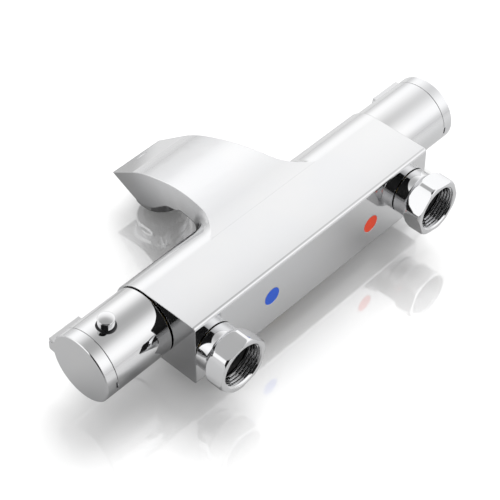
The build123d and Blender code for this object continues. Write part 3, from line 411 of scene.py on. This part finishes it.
# Floor
def floor_material():
    """Glossy white board. It mirrors less toward the near end, and has painted shade where the
    chrome mirrors it: grey, with painted shadows by the cold end and under the spout.
    """
    m = bpy.data.materials.new("floor")
    m.use_nodes = True
    t = Tree(m.node_tree)
    out = t.add("ShaderNodeOutputMaterial")
    seen = t.add("ShaderNodeLightPath").outputs["Is Camera Ray"]
    v = t.mapping()
    place = t.split(v)
    x, y = place["X"], place["Y"]
    white = t.mix(t.noise(v, 60.0, 2.0), (0.90, 0.90, 0.90, 1), (0.895, 0.895, 0.895, 1))

    # Painted shade: the floor shows grey in the chrome's reflections, slightly darker toward +Y,
    # with painted shadow darker by the cold end and under the spout
    painted_floor_grey = t.smooth(y, -0.035, 0.03, 0.45, 0.43)
    past_body = t.smooth(x, 0.085, 0.100, 0.0, 0.33)
    painted_shadow_by_end = t.math("MULTIPLY", past_body, t.smooth(x, 0.125, 0.150, 1.0, 0.5))
    beside = t.smooth(t.math("ABSOLUTE", x), 0.030, 0.056, 0.65, 0.0)
    painted_shadow_under_spout = t.math("MULTIPLY", beside, t.smooth(y, -0.085, -0.070, 1.0, 0.0))
    unshaded_by_end = t.math("SUBTRACT", 1.0, painted_shadow_by_end)
    shade = t.math("MULTIPLY", unshaded_by_end, t.math("SUBTRACT", 1.0, painted_shadow_under_spout))
    painted_shade_in_chrome = t.mix(t.math("MULTIPLY", painted_floor_grey, shade), (0, 0, 0, 1), (1, 1, 1, 1))

    matte = t.add("ShaderNodeBsdfDiffuse")
    # Camera rays see the white board; every other ray sees the painted shade and painted shadows
    t.link(t.mix(seen, painted_shade_in_chrome, white), matte.inputs["Color"])
    gloss = t.add("ShaderNodeBsdfGlossy")
    gloss.inputs["Color"].default_value = (1, 1, 1, 1)
    gloss.inputs["Roughness"].default_value = 0.05
    near = t.smooth(t.math("ADD", x, t.math("MULTIPLY", y, 0.6)), 0.0, 0.10, 0.30, 0.13)
    grazing = t.add("ShaderNodeLayerWeight")
    grazing.inputs["Blend"].default_value = 0.5
    shallow = t.math("MULTIPLY_ADD", t.math("POWER", grazing.outputs["Facing"], 2.5), 0.8, 0.05)
    both = t.add("ShaderNodeMixShader")
    t.link(t.mix_value(seen, shallow, near), both.inputs[0])
    t.link(matte.outputs[0], both.inputs[1])
    t.link(gloss.outputs[0], both.inputs[2])
    t.link(both.outputs[0], out.inputs["Surface"])
    return m


bpy.ops.mesh.primitive_plane_add(size=FLOOR_SIZE, location=(0, 0, FLOOR_Z))
floor = bpy.context.object
floor.name = "floor"
floor.data.materials.append(floor_material())


# Studio
def studio_world():
    """Pale room with a dark part round the camera, as the chrome mirrors it."""
    world = bpy.data.worlds.new("studio")
    world.use_nodes = True
    w = Tree(world.node_tree)
    out = w.add("ShaderNodeOutputWorld")
    back = w.add("ShaderNodeBackground")
    direction = w.add("ShaderNodeTexCoord").outputs["Generated"]
    z = w.split(direction)["Z"]
    ramp = w.add("ShaderNodeValToRGB")
    w.link(z, ramp.inputs["Fac"])
    ramp.color_ramp.interpolation = "B_SPLINE"
    stops = ramp.color_ramp.elements
    while len(stops) < len(ROOM_LEVELS):
        stops.new(0.5)
    for stop, (place, value) in zip(stops, ROOM_LEVELS):
        stop.position = place
        stop.color = (value, value, value, 1)
    round_part = w.smooth(w.dot(direction, TO_CAMERA), 0.76, 0.80)
    level_way = w.vector_math("MULTIPLY", direction, (1, 1, 0)).outputs[0]
    beside = w.dot(w.vector_math("NORMALIZE", level_way).outputs[0], TO_CAMERA_LEVEL)
    low_part = w.math("MULTIPLY", w.smooth(beside, 0.76, 0.82), w.smooth(z, 0.62, 0.70, 1.0, 0.0))
    dark = w.math("MULTIPLY_ADD", w.math("MAXIMUM", round_part, low_part), -ROOM_DARKENING, 1.0)
    mirrored = w.math("MULTIPLY", w.math("MULTIPLY", ramp.outputs["Color"], ROOM_STRENGTH), dark)
    path = w.add("ShaderNodeLightPath")
    level = w.mix_value(path.outputs["Is Glossy Ray"], ROOM_LIGHT, mirrored)
    w.link(w.mix_value(path.outputs["Is Camera Ray"], level, 1.0), back.inputs["Strength"])
    back.inputs["Color"].default_value = (1, 1, 1, 1)
    w.link(back.outputs[0], out.inputs["Surface"])
    return world


def lamp(name, location, energy, size):
    """Square lamp aimed at the tap, left out of the reflections."""
    data = bpy.data.lights.new(name, "AREA")
    data.energy = energy
    data.size = size
    obj = new_object(name, data)
    obj.location = location
    obj.rotation_mode = "QUATERNION"
    aim = Vector(LAMPS_AIM) - Vector(location)
    obj.rotation_quaternion = aim.to_track_quat("-Z", "Y")
    obj.visible_glossy = False


bpy.context.scene.world = studio_world()
lamp("key", (-1.45, -0.75, 2.80), 84, 2.2)
lamp("fill", (0.30, 1.50, 1.80), 10, 2.0)

# Camera
camera_data = bpy.data.cameras.new("camera")
camera_data.sensor_width = SENSOR
camera_data.lens = LENS
camera_data.clip_start = 0.05
camera_data.clip_end = 50.0
camera = new_object("camera", camera_data)
turn = Matrix((CAMERA_RIGHT, CAMERA_UP, CAMERA_BACK)).transposed().to_4x4()
camera.matrix_world = Matrix.Translation(CAMERA_PLACE) @ turn
bpy.context.scene.camera = camera

bpy.context.scene.view_settings.view_transform = "Standard"
